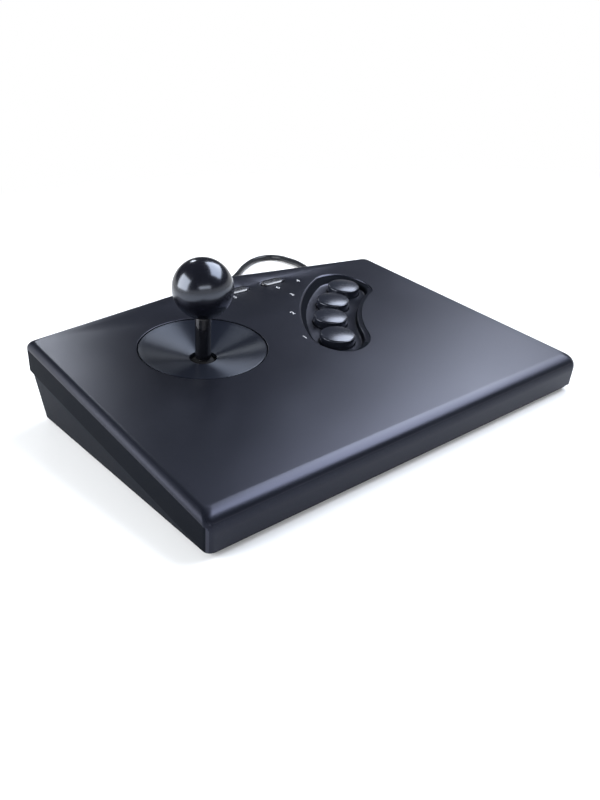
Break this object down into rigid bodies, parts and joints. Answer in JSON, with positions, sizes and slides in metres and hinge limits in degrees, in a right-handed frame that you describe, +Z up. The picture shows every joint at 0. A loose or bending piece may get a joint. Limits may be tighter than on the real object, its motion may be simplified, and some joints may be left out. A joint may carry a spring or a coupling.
{
  "type": "arcade fight stick",
  "caption": "Wedge-shaped arcade fight stick with a ball-top lever in a round dish, round main buttons in a scooped recess, small start and select buttons and a corded connector.",
  "frame": {"origin": "on the table under the middle of the case's bounding box, cord and connector left out", "axes": "+X to the right along the case's width, +Y to the back, +Z up"},
  "size_m": [0.3418, 0.4062, 0.0962],
  "materials": {
    "case_plastic": "satin moulded, fine sparkle texture",
    "base_plastic": "satin moulded",
    "ball": "high gloss",
    "lever_sleeve": "satin gloss",
    "lever_steel": "ground",
    "button_cap": "satin moulded",
    "small_button": "gloss",
    "rubber": "matte",
    "dome_rubber": "matte translucent",
    "dust_plastic": "matte",
    "inner_plastic": "moulded",
    "white_plastic": "moulded acetal",
    "switch_plastic": "moulded",
    "screw_steel": "zinc plated",
    "spring_steel": "drawn wire",
    "board": "solder mask",
    "wire": "insulation",
    "cord_jacket": "smooth vinyl",
    "tie": "hook and loop",
    "plug_plastic": "moulded",
    "plug_metal": "tin plated"
  },
  "bodies": {
    "case": {"top_cover": "case_plastic", "base_shell": "base_plastic", "rubber_feet": "rubber", "case_screws": "screw_steel", "lever_plate": "lever_steel", "lever_housing": "inner_plastic", "restrictor_gate": "white_plastic", "lever_screws": "screw_steel", "switch_right": "switch_plastic", "switch_back": "switch_plastic", "switch_left": "switch_plastic", "switch_front": "switch_plastic", "spring_seat": "lever_steel", "dome_1": "dome_rubber", "dome_2": "dome_rubber", "dome_3": "dome_rubber", "dome_4": "dome_rubber", "button_board": "board", "board_screws": "screw_steel", "small_dome_start": "dome_rubber", "small_dome_select": "dome_rubber", "small_board": "board", "lever_loom": "wire", "board_loom": "wire", "lead_inside": "cord_jacket", "strain_relief": "cord_jacket", "cord_lead": "cord_jacket", "cord_coil": "cord_jacket", "cord_tie": "tie", "plug_shell": "plug_plastic", "plug_insert": "plug_metal", "plug_screws": "screw_steel"},
    "pivot_ring": {"pivot_ring": "white_plastic"},
    "lever": {"pivot_block": "white_plastic", "lever_shaft": "lever_steel", "shaft_sleeve": "lever_sleeve", "ball_top": "ball", "dust_cover": "dust_plastic", "centring_spring": "spring_steel", "actuator": "white_plastic", "e_clip": "lever_steel"},
    "main_button_1": {"main_button_1": "button_cap"},
    "main_button_2": {"main_button_2": "button_cap"},
    "main_button_3": {"main_button_3": "button_cap"},
    "main_button_4": {"main_button_4": "button_cap"},
    "start_button": {"start_button": "small_button"},
    "select_button": {"select_button": "small_button"}
  },
  "joints": [
    {"name": "lever_left_right", "type": "hinge", "parent": "case", "child": "pivot_ring", "pos_m": [-0.0524, 0.02513, 0.02358], "axis": [0, 0.988, 0.1547], "range_deg": [-9, 9], "stiffness_Nm_per_rad": 0.35, "deforming": ["centring_spring"]},
    {"name": "lever_front_back", "type": "hinge", "parent": "pivot_ring", "child": "lever", "pos_m": [-0.0524, 0.02513, 0.02358], "axis": [1, 0, 0], "range_deg": [-9, 9], "stiffness_Nm_per_rad": 0.35, "deforming": ["centring_spring"]},
    {"name": "main_button_1_press", "type": "slide", "parent": "case", "child": "main_button_1", "axis": [0, 0.1547, -0.988], "range_m": [0, 0.0028], "stiffness_N_per_m": 300, "deforming": ["dome_1"]},
    {"name": "main_button_2_press", "type": "slide", "parent": "case", "child": "main_button_2", "axis": [0, 0.1547, -0.988], "range_m": [0, 0.0028], "stiffness_N_per_m": 300, "deforming": ["dome_2"]},
    {"name": "main_button_3_press", "type": "slide", "parent": "case", "child": "main_button_3", "axis": [0, 0.1547, -0.988], "range_m": [0, 0.0028], "stiffness_N_per_m": 300, "deforming": ["dome_3"]},
    {"name": "main_button_4_press", "type": "slide", "parent": "case", "child": "main_button_4", "axis": [0, 0.1547, -0.988], "range_m": [0, 0.0028], "stiffness_N_per_m": 300, "deforming": ["dome_4"]},
    {"name": "start_button_press", "type": "slide", "parent": "case", "child": "start_button", "axis": [0, 0.1547, -0.988], "range_m": [0, 0.0013], "stiffness_N_per_m": 300, "deforming": ["small_dome_start"]},
    {"name": "select_button_press", "type": "slide", "parent": "case", "child": "select_button", "axis": [0, 0.1547, -0.988], "range_m": [0, 0.0013], "stiffness_N_per_m": 300, "deforming": ["small_dome_select"]}
  ]
}
